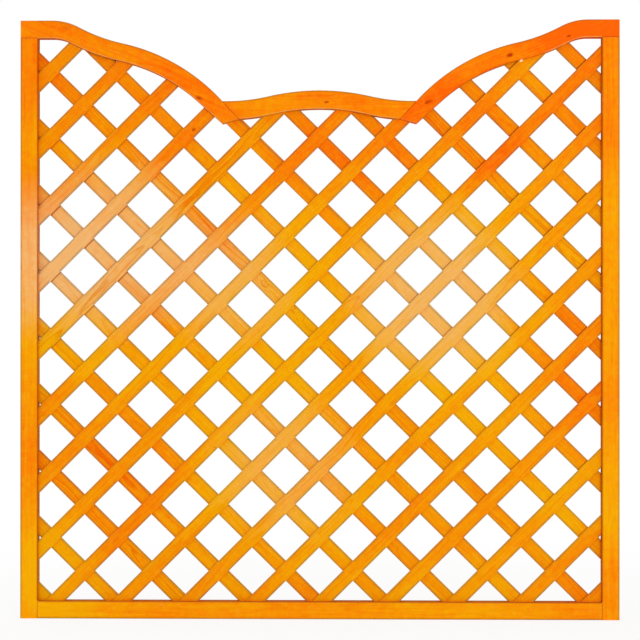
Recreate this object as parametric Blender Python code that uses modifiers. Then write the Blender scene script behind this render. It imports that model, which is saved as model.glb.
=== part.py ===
"""Arched diagonal trellis fence panel in stained softwood.

A grooved frame holds two layers of crossed slats. The top is three sawn boards: two that sweep
down from the stiles in an ogee, and a crown board between them. Every slat is cut to the
curves above it and ends inside the frame's groove.

Metres, +Z up. +X runs along the panel and -Y is its front. The origin is the middle of the
bottom edge, half way through the frame's depth.
"""

import math

import bmesh
import bpy
from mathutils import Matrix, Vector

# Overall size
PANEL_WIDTH = 1.800
PANEL_HEIGHT = 1.800
FRAME_DEPTH = 0.045

# Widths of the frame boards, seen from the front
STILE_FACE = 0.052
BOTTOM_RAIL_FACE = 0.052
ARCH_FACE = 0.053
CROWN_FACE = 0.055

# Clearance between pieces that touch
GAP = 0.0003

# Lattice: the slopes are those of the front slats, and of the rear ones that cross them
SLAT_WIDTH = 0.043
SLAT_THICKNESS = 0.008
MESH_OPENING = 0.0995
FRONT_SLOPE = math.radians(45.0)
REAR_SLOPE = math.radians(44.6)
LATTICE_CENTRE_HEIGHT = 0.846
LATTICE_SHIFT = -0.0025
# A slat that would be a narrower strip than this, across a corner, is left out
LEAST_STRIP = 0.010

# Groove that the slats' ends and the corner tongues sit in
GROOVE_DEPTH = 0.015

# Eased edges: rounds on the outside and round the opening, and a touch at the joints
OUTER_ROUND = 0.003
INNER_ROUND = 0.005
JOINT_ROUND = 0.0012
SLAT_ROUND = 0.0010
ROUND_SEGMENTS = 3

# Top edge of a side arch, from its outer end: level, then crest, hollow and shoulder
LEVEL_LENGTH = 0.094
CREST_RADIUS = 0.175
CREST_TURN = math.radians(28.0)
HOLLOW_RADIUS = 0.520
HOLLOW_TURN = math.radians(15.5)
SHOULDER_RADIUS = 0.575
SHOULDER_TURN = math.radians(35.5)
# The under edge stops curving sooner and runs straight to the arch's foot
UNDER_SHOULDER_TURN = math.radians(29.5)
FOOT_CUT_ANGLE = math.radians(15.0)

# Crown board: how far its ends' top edge runs above the valleys, and the curves between them
CROWN_STAND = 0.0022
CROWN_RADIUS = 0.674
CROWN_TURN = math.radians(13.1)
SPRING_RADIUS = 0.553

# Screws through the four corners
SCREW_LENGTH = 0.090
SCREW_SHANK_RADIUS = 0.0025
SCREW_HEAD_RADIUS = 0.0050
SCREW_HEAD_DEPTH = 0.0035
SCREW_HEAD_RIM = 0.0006
SCREW_TIP = 0.008
SCREW_SINK = 0.0005
RECESS_SPAN = 0.0056
RECESS_SLOT = 0.0013
RECESS_DEPTH = 0.0022

# Dowel across each joint of the top boards
DOWEL_RADIUS = 0.004
DOWEL_LENGTH = 0.040
DOWEL_CHAMFER = 0.001

# Fineness of the facets, the angle from which a corner is left sharp, and what counts as
# the same place and the same plane
ARC_STEP = math.radians(1.8)
TURNED_STEPS = 16
SHARP_FROM = math.radians(35.0)
SAME_PLACE = 0.00001
SAME_PLANE = math.radians(0.01)

# Stain colours, as linear red, green and blue, and metal
STILE_STAIN = (0.94, 0.31, 0.006)
RAIL_STAIN = (0.87, 0.27, 0.008)
ARCH_STAIN = (0.93, 0.23, 0.004)
SLAT_STAINS = ((0.96, 0.33, 0.006), (0.94, 0.25, 0.005), (0.92, 0.19, 0.004))
STAIN_ROUGHNESS = 0.45
DOWEL_WOOD = (0.72, 0.52, 0.30)
DOWEL_ROUGHNESS = 0.7
ZINC = (0.62, 0.60, 0.52)
ZINC_ROUGHNESS = 0.35

# Worked out from the above
HALF_WIDTH = PANEL_WIDTH / 2
HALF_DEPTH = FRAME_DEPTH / 2
OPENING_HALF = HALF_WIDTH - STILE_FACE
ARCH_FOOT_LEVEL = PANEL_HEIGHT - ARCH_FACE
GROOVE_WIDTH = 2 * SLAT_THICKNESS + 3 * GAP
TONGUE_THICKNESS = GROOVE_WIDTH - 2 * GAP
TONGUE_REACH = GROOVE_DEPTH - GAP
SLAT_PITCH = SLAT_WIDTH + MESH_OPENING
SLAT_LAYER = SLAT_THICKNESS / 2 + GAP / 2
OVERSHOOT = 0.050


def clear_scene():
    for old in list(bpy.data.objects):
        bpy.data.objects.remove(old, do_unlink=True)


def new_collection(name):
    made = bpy.data.collections.new(name)
    bpy.context.scene.collection.children.link(made)
    return made


def finish(obj, colour, roughness, metallic=0.0):
    """Give the piece its own material."""
    made = bpy.data.materials.new(obj.name + "_finish")
    made.use_nodes = True
    shader = made.node_tree.nodes["Principled BSDF"]
    shader.inputs["Base Color"].default_value = (*colour, 1.0)
    shader.inputs["Roughness"].default_value = roughness
    shader.inputs["Metallic"].default_value = metallic
    obj.data.materials.clear()
    obj.data.materials.append(made)


def smooth(obj):
    """Fix the piece's shape, then shade its rounds smoothly and leave flats and corners crisp."""
    graph = bpy.context.evaluated_depsgraph_get()
    shaped = bpy.data.meshes.new_from_object(obj.evaluated_get(graph))
    shaped.name = obj.name
    obj.modifiers.clear()
    obj.data = shaped
    shaped.shade_smooth()
    shaped.set_sharp_from_angle(angle=SHARP_FROM)
    flats = obj.modifiers.new("flat_faces", "WEIGHTED_NORMAL")
    flats.keep_sharp = True


# Flat geometry: points are Vectors of x and z


def edge_path(start, stretches):
    """Points along an edge that sets off level along +X.

    A stretch is ("line", length) or ("arc", radius, turn), and a positive turn bends it down.
    """
    points = [Vector(start)]
    heading = 0.0
    for kind, size, *rest in stretches:
        if kind == "line":
            points.append(points[-1] + size * Vector((math.cos(heading), -math.sin(heading))))
            continue
        turn = rest[0]
        steps = max(2, math.ceil(abs(turn) / ARC_STEP))
        chord = 2 * size * math.sin(abs(turn) / steps / 2)
        for _ in range(steps):
            middle = heading + turn / steps / 2
            points.append(points[-1] + chord * Vector((math.cos(middle), -math.sin(middle))))
            heading += turn / steps
    return points


def mirrored(points):
    """The same points on the other side of the panel, in reverse order."""
    return [Vector((-point.x, point.y)) for point in reversed(points)]


def lines_meet(start, along, other, other_along):
    """Where two lines cross, each given by a point and a direction."""
    across = along.x * other_along.y - along.y * other_along.x
    apart = other - start
    return start + along * ((apart.x * other_along.y - apart.y * other_along.x) / across)


def line_meets_path(start, along, path):
    """The first point of a path that a line crosses."""
    normal = Vector((-along.y, along.x))
    for first, second in zip(path, path[1:]):
        if (first - start).dot(normal) * (second - start).dot(normal) <= 0:
            return lines_meet(start, along, first, second - first)
    raise ValueError("The arch's joint line misses the crown board")


def raised(path, distance):
    """A path moved to its left side, which is up for one that runs along +X."""
    moved = []
    for index, point in enumerate(path):
        before = (point - path[index - 1]).normalized() if index else None
        after = (path[index + 1] - point).normalized() if index + 1 < len(path) else None
        before = before or after
        after = after or before
        middle = (before + after).normalized()
        normal = Vector((-middle.y, middle.x))
        reach = distance / normal.dot(Vector((-before.y, before.x)))
        moved.append(point + reach * normal)
    return moved


def side_top_edge():
    """Top edge of the left arch, from its outer end to the valley."""
    return edge_path(
        (-HALF_WIDTH, PANEL_HEIGHT),
        [
            ("line", LEVEL_LENGTH),
            ("arc", CREST_RADIUS, CREST_TURN),
            ("arc", HOLLOW_RADIUS, -HOLLOW_TURN),
            ("arc", SHOULDER_RADIUS, SHOULDER_TURN),
        ],
    )


def side_under_edge():
    """Under edge of the left arch, which starts as its top edge set in by the board's width."""
    return edge_path(
        (-HALF_WIDTH, ARCH_FOOT_LEVEL),
        [
            ("line", LEVEL_LENGTH),
            ("arc", CREST_RADIUS - ARCH_FACE, CREST_TURN),
            ("arc", HOLLOW_RADIUS + ARCH_FACE, -HOLLOW_TURN),
            ("arc", SHOULDER_RADIUS - ARCH_FACE, UNDER_SHOULDER_TURN),
        ],
    )


def crown_edge(drop):
    """An edge of the crown board, this far below its top edge, from left to right."""
    rise = (CROWN_RADIUS + SPRING_RADIUS) * (1 - math.cos(CROWN_TURN))
    crest = side_top_edge()[-1].y + CROWN_STAND + rise
    half = edge_path(
        (0.0, crest - drop),
        [("arc", CROWN_RADIUS - drop, CROWN_TURN), ("arc", SPRING_RADIUS + drop, -CROWN_TURN)],
    )
    half.append(Vector((OPENING_HALF, half[-1].y)))
    return mirrored(half)[:-1] + half


def joint_direction():
    """The joint line runs on from the valley in the line of the arch's top edge."""
    heading = CREST_TURN - HOLLOW_TURN + SHOULDER_TURN
    return Vector((math.cos(heading), -math.sin(heading)))


def joint_foot():
    """Where the joint line comes out under the crown board."""
    return line_meets_path(side_top_edge()[-1], joint_direction(), crown_edge(CROWN_FACE))


def arch_toe():
    """The lowest corner of the left arch, between its under edge and its foot cut."""
    under = side_under_edge()
    heading = CREST_TURN - HOLLOW_TURN + UNDER_SHOULDER_TURN
    down = Vector((math.cos(heading), -math.sin(heading)))
    back = Vector((-math.cos(FOOT_CUT_ANGLE), -math.sin(FOOT_CUT_ANGLE)))
    return lines_meet(under[-1], down, joint_foot(), back)


def opening_top(reach):
    """Under edges of the three top boards, as one path from -reach to +reach."""
    foot = joint_foot()
    level_start = Vector((-reach, ARCH_FOOT_LEVEL))
    side = [point for point in side_under_edge() if point.x > -reach + GAP]
    crown = [point for point in crown_edge(CROWN_FACE) if foot.x + GAP < point.x <= 0.0]
    half = [level_start, *side, arch_toe(), foot, *crown]
    return half + mirrored(half)[1:]


# Solids


def flat_solid(name, outline, thickness, collection, y=0.0):
    """A board cut to an outline, standing in the panel's plane."""
    curve = bpy.data.curves.new(name, "CURVE")
    curve.dimensions = "2D"
    curve.fill_mode = "BOTH"
    curve.extrude = thickness / 2
    spline = curve.splines.new("POLY")
    spline.points.add(len(outline) - 1)
    for spot, point in zip(spline.points, outline):
        spot.co = (point.x, point.y, 0.0, 1.0)
    spline.use_cyclic_u = True
    drawn = bpy.data.objects.new(name + "_outline", curve)
    collection.objects.link(drawn)
    drawn.matrix_world = Matrix.Translation((0.0, y, 0.0)) @ Matrix.Rotation(math.pi / 2, 4, "X")
    bpy.context.view_layer.update()
    graph = bpy.context.evaluated_depsgraph_get()
    mesh = bpy.data.meshes.new_from_object(drawn.evaluated_get(graph))
    mesh.name = name
    mesh.transform(drawn.matrix_world)
    solid = bpy.data.objects.new(name, mesh)
    collection.objects.link(solid)
    bpy.data.objects.remove(drawn, do_unlink=True)
    tidy = bmesh.new()
    tidy.from_mesh(mesh)
    bmesh.ops.remove_doubles(tidy, verts=tidy.verts, dist=SAME_PLACE)
    inside_caps = [edge for edge in tidy.edges if edge.calc_face_angle(math.pi) < SAME_PLANE]
    bmesh.ops.dissolve_edges(tidy, edges=inside_caps, use_verts=False)
    bmesh.ops.recalc_face_normals(tidy, faces=tidy.faces)
    tidy.to_mesh(mesh)
    tidy.free()
    return solid


def box(name, low, high, collection):
    """A block between two corners, with its origin at its middle."""
    low, high = Vector(low), Vector(high)
    mesh = bpy.data.meshes.new(name)
    shape = bmesh.new()
    bmesh.ops.create_cube(shape, size=1.0)
    bmesh.ops.scale(shape, verts=shape.verts, vec=high - low)
    shape.to_mesh(mesh)
    shape.free()
    made = bpy.data.objects.new(name, mesh)
    made.location = (low + high) / 2
    collection.objects.link(made)
    return made


def turned(name, profile, collection):
    """A shape turned about its own Z from a profile of radius and height, top to bottom."""
    mesh = bpy.data.meshes.new(name)
    edges = [(index, index + 1) for index in range(len(profile) - 1)]
    mesh.from_pydata([(radius, 0.0, height) for radius, height in profile], edges, [])
    made = bpy.data.objects.new(name, mesh)
    collection.objects.link(made)
    turn = made.modifiers.new("turn", "SCREW")
    turn.axis = "Z"
    turn.steps = turn.render_steps = TURNED_STEPS
    turn.use_merge_vertices = True
    turn.merge_threshold = SAME_PLACE
    turn.use_smooth_shade = True
    return made


def helper(obj):
    """Mark an object as a cutter."""
    obj.hide_render = True
    obj.display_type = "WIRE"
    return obj


def combine(obj, cutter, operation):
    boolean = obj.modifiers.new(cutter.name, "BOOLEAN")
    boolean.operation = operation
    boolean.solver = "EXACT"
    boolean.object = cutter


def ease_edges(obj, runs):
    """Round the front and back edges that lie on each run of points, by that run's radius."""
    largest = max(radius for _, radius in runs)
    shape = bmesh.new()
    shape.from_mesh(obj.data)
    weight = shape.edges.layers.float.new("bevel_weight_edge")
    for edge in shape.edges:
        first, second = (obj.matrix_world @ vertex.co for vertex in edge.verts)
        if abs(first.y - second.y) > GAP:
            continue
        middle = Vector(((first.x + second.x) / 2, (first.z + second.z) / 2))
        for points, radius in runs:
            if any(lies_on(middle, a, b) for a, b in zip(points, points[1:])):
                edge[weight] = radius / largest
    shape.to_mesh(obj.data)
    shape.free()
    bevel = obj.modifiers.new("eased_edges", "BEVEL")
    bevel.limit_method = "WEIGHT"
    bevel.width = largest
    bevel.segments = ROUND_SEGMENTS
    bevel.use_clamp_overlap = False


def lies_on(point, start, end):
    """Whether a point is on the straight stretch between two others."""
    return (point - start).length + (end - point).length < (end - start).length + SAME_PLACE


def placed(obj, location, direction):
    """Stand a turned piece at a point with its foot pointing in a direction."""
    turn = Vector(direction).to_track_quat("-Z", "Y")
    obj.matrix_world = Matrix.Translation(location) @ turn.to_matrix().to_4x4()
    return obj


# Sub-parts


def stile(side, parts, cutters):
    """An upright: grooved along its inner edge, with a tongue on top for the arch board."""
    name = "left" if side < 0 else "right"
    outer, inner = side * HALF_WIDTH, side * OPENING_HALF
    top = ARCH_FOOT_LEVEL - GAP
    low_x, high_x = sorted((outer, inner))
    made = box("stile_" + name, (low_x, -HALF_DEPTH, 0.0), (high_x, HALF_DEPTH, top), parts)
    bpy.context.view_layer.update()
    corners = [Vector((inner, 0.0)), Vector((inner, top)), Vector((outer, top)), Vector((outer, 0.0))]
    ease_edges(
        made,
        [
            (corners[0:2], INNER_ROUND),
            (corners[1:3], JOINT_ROUND),
            (corners[2:4], OUTER_ROUND),
        ],
    )
    groove_floor = inner + side * GROOVE_DEPTH
    low_x, high_x = sorted((groove_floor, inner - side * OVERSHOOT))
    groove = box(
        "stile_groove_" + name,
        (low_x, -GROOVE_WIDTH / 2, -OVERSHOOT),
        (high_x, GROOVE_WIDTH / 2, top + OVERSHOOT),
        cutters,
    )
    combine(made, helper(groove), "DIFFERENCE")
    low_x, high_x = sorted((outer, groove_floor))
    tongue = box(
        "stile_tongue_" + name,
        (low_x, -TONGUE_THICKNESS / 2, top - TONGUE_REACH),
        (high_x, TONGUE_THICKNESS / 2, ARCH_FOOT_LEVEL + TONGUE_REACH),
        cutters,
    )
    combine(made, helper(tongue), "UNION")
    finish(made, STILE_STAIN, STAIN_ROUGHNESS)
    return made


def bottom_rail(parts, cutters):
    """The lower rail: grooved along its top, with a tongue at each end for the stiles."""
    end = OPENING_HALF - GAP
    made = box("bottom_rail", (-end, -HALF_DEPTH, 0.0), (end, HALF_DEPTH, BOTTOM_RAIL_FACE), parts)
    bpy.context.view_layer.update()
    corners = [
        Vector((-end, 0.0)),
        Vector((end, 0.0)),
        Vector((end, BOTTOM_RAIL_FACE)),
        Vector((-end, BOTTOM_RAIL_FACE)),
    ]
    ease_edges(
        made,
        [
            (corners[0:2], OUTER_ROUND),
            (corners[1:3], JOINT_ROUND),
            (corners[2:4], INNER_ROUND),
            ([corners[3], corners[0]], JOINT_ROUND),
        ],
    )
    groove_floor = BOTTOM_RAIL_FACE - GROOVE_DEPTH
    groove = box(
        "bottom_rail_groove",
        (-end - OVERSHOOT, -GROOVE_WIDTH / 2, groove_floor),
        (end + OVERSHOOT, GROOVE_WIDTH / 2, BOTTOM_RAIL_FACE + OVERSHOOT),
        cutters,
    )
    combine(made, helper(groove), "DIFFERENCE")
    tongue_end = OPENING_HALF + TONGUE_REACH
    for side, name in ((-1, "left"), (1, "right")):
        low_x, high_x = sorted((side * (end - TONGUE_REACH), side * tongue_end))
        tongue = box(
            "bottom_rail_tongue_" + name,
            (low_x, -TONGUE_THICKNESS / 2, 0.0),
            (high_x, TONGUE_THICKNESS / 2, groove_floor),
            cutters,
        )
        combine(made, helper(tongue), "UNION")
    finish(made, RAIL_STAIN, STAIN_ROUGHNESS)
    return made


def side_arch(side, parts, arch_groove):
    """An ogee board that sits on a stile and sweeps down to the crown board."""
    name = "left" if side < 0 else "right"
    top, under = side_top_edge(), side_under_edge()
    foot, toe = joint_foot(), arch_toe()
    outline = [*top, foot, toe, *reversed(under)]
    eased = [
        (top, OUTER_ROUND),
        ([*under, toe, foot], INNER_ROUND),
        ([top[-1], foot], JOINT_ROUND),
        ([under[0], top[0]], JOINT_ROUND),
    ]
    if side > 0:
        outline = mirrored(outline)
        eased = [(mirrored(run), radius) for run, radius in eased]
    made = flat_solid("arch_board_" + name, outline, FRAME_DEPTH, parts)
    ease_edges(made, eased)
    combine(made, arch_groove, "DIFFERENCE")
    finish(made, ARCH_STAIN, STAIN_ROUGHNESS)
    return made


def crown_board(parts, cutters, arch_groove):
    """The middle board, whose ends are scribed to the two arches."""
    top, under = crown_edge(0.0), crown_edge(CROWN_FACE)
    made = flat_solid("crown_board", [*top, *reversed(under)], FRAME_DEPTH, parts)
    ease_edges(made, [(top, OUTER_ROUND), (under, INNER_ROUND)])
    side_line = raised([*side_top_edge(), joint_foot() + joint_direction() * PANEL_HEIGHT / 2], GAP)
    low_corner = Vector((side_line[0].x - OVERSHOOT, side_line[-1].y))
    high_corner = Vector((side_line[0].x - OVERSHOOT, side_line[0].y))
    scribe = [high_corner, *side_line, low_corner]
    for name, outline in (("left", scribe), ("right", mirrored(scribe))):
        cutter = flat_solid("crown_scribe_" + name, outline, FRAME_DEPTH + OVERSHOOT, cutters)
        combine(made, helper(cutter), "DIFFERENCE")
    combine(made, arch_groove, "DIFFERENCE")
    finish(made, ARCH_STAIN, STAIN_ROUGHNESS)
    return made


def slat(name, middle, slope, parts, lattice_space):
    """One slat: a long strip, cut where it meets the groove's floor."""
    length = PANEL_WIDTH + PANEL_HEIGHT
    low = (-length / 2, -SLAT_THICKNESS / 2, -SLAT_WIDTH / 2)
    high = (length / 2, SLAT_THICKNESS / 2, SLAT_WIDTH / 2)
    made = box(name, low, high, parts)
    made.location = middle
    made.rotation_euler = (0.0, -slope, 0.0)
    bevel = made.modifiers.new("eased_edges", "BEVEL")
    bevel.width = SLAT_ROUND
    bevel.segments = 1
    combine(made, lattice_space, "INTERSECT")
    return made


def slat_offsets(normal, centre, lattice_space):
    """How far from the lattice's centre each slat of a layer lies, so that they fill the frame."""
    reach = [normal.dot(vertex.co - centre) for vertex in lattice_space.data.vertices]
    beyond = SLAT_WIDTH / 2 - LEAST_STRIP
    first = math.ceil((min(reach) - beyond) / SLAT_PITCH)
    last = math.floor((max(reach) + beyond) / SLAT_PITCH)
    return [number * SLAT_PITCH for number in range(first, last + 1)]


def lattice(parts, lattice_space):
    """Two crossed layers of slats: those that rise to the right in front, the others behind."""
    for layer, slope, word in ((-1, FRONT_SLOPE, "front"), (1, -REAR_SLOPE, "rear")):
        normal = Vector((-math.sin(slope), 0.0, math.cos(slope)))
        centre = Vector((LATTICE_SHIFT, layer * SLAT_LAYER, LATTICE_CENTRE_HEIGHT))
        for number, offset in enumerate(slat_offsets(normal, centre, lattice_space), start=1):
            name = f"{word}_slat_{number:02d}"
            made = slat(name, centre + offset * normal, slope, parts, lattice_space)
            stain = SLAT_STAINS[(2 * number + layer) % len(SLAT_STAINS)]
            finish(made, stain, STAIN_ROUGHNESS)


def screw_profile(extra, above):
    """Profile of a countersunk screw, grown by extra for its hole and open above the surface."""
    head = SCREW_HEAD_RADIUS + extra
    shank = SCREW_SHANK_RADIUS + extra
    return [
        (0.0, above),
        (head, above),
        (head, -SCREW_HEAD_RIM - extra),
        (shank, -SCREW_HEAD_DEPTH - extra),
        (shank, -SCREW_LENGTH + SCREW_TIP),
        (0.0, -SCREW_LENGTH - extra),
    ]


def screw(name, spot, direction, members, parts, cutters):
    """A countersunk screw with a cross recess, and its hole through the pieces it joins."""
    seat = Vector(spot) + SCREW_SINK * Vector(direction)
    made = placed(turned(name, screw_profile(0.0, 0.0), parts), seat, direction)
    hole = turned(name + "_hole", screw_profile(GAP, OVERSHOOT), cutters)
    placed(helper(hole), seat, direction)
    for member in members:
        combine(member, hole, "DIFFERENCE")
    for word, long, wide in (("a", RECESS_SPAN, RECESS_SLOT), ("b", RECESS_SLOT, RECESS_SPAN)):
        low = (-long / 2, -wide / 2, -RECESS_DEPTH)
        high = (long / 2, wide / 2, RECESS_DEPTH)
        slot = helper(box(f"{name}_recess_{word}", low, high, cutters))
        placed(slot, seat, direction)
        combine(made, slot, "DIFFERENCE")
    finish(made, ZINC, ZINC_ROUGHNESS, metallic=1.0)


def corner_screws(stiles, rail, arches, parts, cutters):
    """One screw through each corner, which also pins the tongue in its groove."""
    rail_height = (BOTTOM_RAIL_FACE - GROOVE_DEPTH) / 2
    stile_middle = (HALF_WIDTH + OPENING_HALF + GROOVE_DEPTH) / 2
    for side, name in ((-1, "left"), (1, "right")):
        low = (side * HALF_WIDTH, 0.0, rail_height)
        screw("bottom_screw_" + name, low, (-side, 0, 0), [stiles[side], rail], parts, cutters)
        high = (side * stile_middle, 0.0, PANEL_HEIGHT)
        screw("top_screw_" + name, high, (0, 0, -1), [arches[side], stiles[side]], parts, cutters)


def dowel_profile(extra):
    radius, half = DOWEL_RADIUS + extra, DOWEL_LENGTH / 2 + extra
    return [
        (0.0, half),
        (radius - DOWEL_CHAMFER, half),
        (radius, half - DOWEL_CHAMFER),
        (radius, -half + DOWEL_CHAMFER),
        (radius - DOWEL_CHAMFER, -half),
        (0.0, -half),
    ]


def dowels(arches, crown, parts, cutters):
    """A dowel square across each joint, midway between the valley and the groove."""
    along = joint_direction()
    valley = side_top_edge()[-1]
    spot = (valley + line_meets_path(valley, along, crown_edge(CROWN_FACE - GROOVE_DEPTH))) / 2
    for side, name in ((-1, "left"), (1, "right")):
        centre = (-side * spot.x, 0.0, spot.y)
        across = (side * along.y, 0.0, along.x)
        made = placed(turned("dowel_" + name, dowel_profile(0.0), parts), centre, across)
        hole = turned(f"dowel_{name}_hole", dowel_profile(GAP), cutters)
        placed(helper(hole), centre, across)
        combine(arches[side], hole, "DIFFERENCE")
        combine(crown, hole, "DIFFERENCE")
        finish(made, DOWEL_WOOD, DOWEL_ROUGHNESS)


def grooves_and_lattice_space(cutters):
    """The cutter for the groove under the top boards, and the space that the slats fill."""
    groove_top = raised(opening_top(HALF_WIDTH + OVERSHOOT), GROOVE_DEPTH)
    low = PANEL_HEIGHT / 2
    groove_low = [Vector((groove_top[-1].x, low)), Vector((groove_top[0].x, low))]
    groove = flat_solid("arch_groove", groove_top + groove_low, GROOVE_WIDTH, cutters)
    slat_top = raised(opening_top(OPENING_HALF + TONGUE_REACH), TONGUE_REACH)
    low = BOTTOM_RAIL_FACE - TONGUE_REACH
    slat_low = [Vector((slat_top[-1].x, low)), Vector((slat_top[0].x, low))]
    space = flat_solid("lattice_space", slat_top + slat_low, FRAME_DEPTH, cutters)
    return helper(groove), helper(space)


def build():
    clear_scene()
    parts = new_collection("arched_fence_panel")
    cutters = new_collection("cutters")
    arch_groove, lattice_space = grooves_and_lattice_space(cutters)
    stiles = {side: stile(side, parts, cutters) for side in (-1, 1)}
    rail = bottom_rail(parts, cutters)
    arches = {side: side_arch(side, parts, arch_groove) for side in (-1, 1)}
    crown = crown_board(parts, cutters, arch_groove)
    lattice(parts, lattice_space)
    corner_screws(stiles, rail, arches, parts, cutters)
    dowels(arches, crown, parts, cutters)
    bpy.context.view_layer.update()
    for piece in parts.objects:
        smooth(piece)


build()
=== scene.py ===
"""Looks of the arched trellis fence panel: stained pine boards and slats, zinc screws, staples.

Metres, +Z up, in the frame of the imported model. +X runs along the panel and -Y is its front.
"""

import math
import random
from dataclasses import dataclass

import bmesh
import bpy
from mathutils import Matrix, Vector
from mathutils.bvhtree import BVHTree


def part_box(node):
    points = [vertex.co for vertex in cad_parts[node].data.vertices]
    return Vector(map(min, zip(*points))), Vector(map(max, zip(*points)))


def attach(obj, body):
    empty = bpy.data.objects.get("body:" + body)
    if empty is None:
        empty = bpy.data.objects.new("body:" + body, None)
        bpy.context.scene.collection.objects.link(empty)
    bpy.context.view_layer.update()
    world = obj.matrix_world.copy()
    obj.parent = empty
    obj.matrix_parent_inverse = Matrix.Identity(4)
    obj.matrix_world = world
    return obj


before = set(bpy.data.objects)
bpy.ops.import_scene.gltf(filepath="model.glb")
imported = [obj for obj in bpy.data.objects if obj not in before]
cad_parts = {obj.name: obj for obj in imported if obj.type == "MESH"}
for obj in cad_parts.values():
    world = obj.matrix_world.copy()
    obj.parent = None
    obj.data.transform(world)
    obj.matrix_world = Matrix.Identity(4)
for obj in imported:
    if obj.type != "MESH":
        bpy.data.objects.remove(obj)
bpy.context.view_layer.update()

# What the frame and the lattice measure in the CAD
PANEL_HALF = 0.9
PANEL_HEIGHT = 1.8
BOARD_FACE = 0.052
ARCH_FACE = 0.053
STILE_MIDDLE = PANEL_HALF - BOARD_FACE / 2
STILE_TOP = PANEL_HEIGHT - ARCH_FACE
OPENING_HALF = PANEL_HALF - BOARD_FACE
RAIL_TOP = BOARD_FACE
SLAT_WIDTH = 0.043
SLAT_THICKNESS = 0.008
LAYER_GAP = 0.0003
FRONT_SLOPE = math.radians(45.0)
REAR_SLOPE = math.radians(-44.6)
LATTICE_CENTRE = Vector((-0.0025, 0.0, 0.846))
SLATS_EACH_WAY = 17
FRAME_BOARDS = (
    "stile_left",
    "stile_right",
    "bottom_rail",
    "arch_board_left",
    "arch_board_right",
    "crown_board",
)

# A slat's face is on its long side when its normal is at least this near to square to the slat
LONG_SIDE = 0.995
# Rays at a solid start this far off, well outside it
RAY_START = 1.0
# A curved board's top edge: in how many steps it is followed, what share of its length is left
# out at each end, and where, in front of the groove
TOP_EDGE_STEPS = 48
TOP_EDGE_END = 0.002
CHEEK = -0.015

# Staples through the crossings, their crowns on the rear slats' backs: the wire, how wide a crown
# is, how it bends into the legs and how deep they go
SLAT_BACK = LAYER_GAP / 2 + SLAT_THICKNESS
STAPLE_WIRE = 0.0012
STAPLE_THICKNESS = 0.0007
STAPLE_CORNERS = 8
STAPLE_CROWN = 0.0105
STAPLE_BEND = 0.0009
STAPLE_BEND_TURNS = (30, 60, 90)
STAPLE_SUNK = 0.0035
# One goes in where both slats reach this far around their crossing, and sits this unevenly
STAPLE_ROOM = 0.014
STAPLE_STRAY = 0.003
STAPLE_TILT = math.radians(9.0)
STAPLE_PROUD = 0.0002
STAPLE_SEED = 61

# The camera, so that the panel lies in the picture as it does in the photograph
CAMERA_SPOT = (0.110, -6.0, 0.8939)
CAMERA_YAW, CAMERA_PITCH, CAMERA_ROLL = 0.0180, 0.0008, -0.0005
CAMERA_LENS = 112.01
CAMERA_SENSOR = 36.0
CAMERA_REACH = 200.0

# Light: a soft key from the front right, a weak one from behind, and an even white surround
LIT_SPOT = (0.0, 0.0, 0.9)
SURROUND = 0.74
KEY_SPOT = (5.2, -18.9, 3.0)
KEY_SIZE = 5.0
KEY_POWER = 1185.0
BACK_SPOT = (-3.4, 5.0, 2.2)
BACK_SIZE = 2.4
BACK_POWER = 90.0

# The floor, and how much of its white is its own and takes no shadow: FLOOR_GLOW as far as
# GLOW_NEAR from the panel's foot, and all of it from GLOW_FAR on
FLOOR_HALF = 60.0
FLOOR_CELLS = 8
FLOOR_WHITE = 0.93
FLOOR_GLOW = 0.87
GLOW_NEAR = 0.9
GLOW_FAR = 2.6


def colour(red, green, blue):
    """A screen colour, each channel from 0 to 255, as the linear colour a shader takes."""
    def linear(value):
        value /= 255.0
        return value / 12.92 if value <= 0.04045 else ((value + 0.055) / 1.055) ** 2.4

    return (linear(red), linear(green), linear(blue), 1.0)


# Stain colours, and those of painted shade and painted highlight
RED_STAIN = colour(250, 92, 0)
ORANGE_STAIN = colour(246, 138, 1)
AMBER_STAIN = colour(243, 172, 0)
THIN_STAIN = colour(242, 186, 118)
# Dark stain of late wood, fibres and sawn ends, and painted shade on the slats and deep inside the
# frame's groove
DARK_STAIN_AND_SHADE = colour(146, 56, 4)
# Painted shade, a deep red, where the slats go into the frame
END_SHADE_RED = colour(250, 90, 0)
# Painted shade on the rear slats beside the front slats' edges
PAINTED_CONTACT_SHADE = colour(146, 54, 2)
# Painted shade along a straight board's edge at the opening
OPENING_EDGE_SHADE = colour(186, 74, 0)
BARE_CHIP = colour(255, 236, 196)
# Pale arris: thin worn stain with a painted highlight, and only a painted highlight at joints
WORN_ARRIS_AND_HIGHLIGHT = colour(250, 190, 104)
# Dark band inside a frame board's outer edge, and painted shade on its outer arris
BOARD_EDGE = colour(150, 104, 24)
KNOT_HEART = colour(178, 30, 0)
KNOT_RIM = colour(132, 28, 0)
STAIN_SHEEN = (1.0, 0.55, 0.04, 1.0)

# Tone, from 0 for red over 0.5 for orange to 1 for amber: its middle, how far it swings over the
# panel, in blotches, along a board and in streaks, and how far late wood pulls it to red
MIDDLE_TONE = 0.60
PANEL_SWING = 0.14
BLOTCH_SWING = 0.11
BOARD_SWING = 0.19
STREAK_SWING = 0.13
LATE_RED = 0.34
# How far a slat leans from its place's tone, towards amber: the middle and spread for most of them
SLAT_LEAN = (0.09, 0.07)
OWN_LEANS = {"front_slat_01": 0.35, "front_slat_17": 0.35}

# Thin stain: how it varies in blotches and streaks, how much speckle there is anywhere, and how
# much less of it late wood has
THIN_BLOTCHES = (0.80, 1.20)
THIN_STREAKS = (0.78, 1.10)
THIN_SPECKLE = 0.05
LATE_HOLD = 0.35

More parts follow.
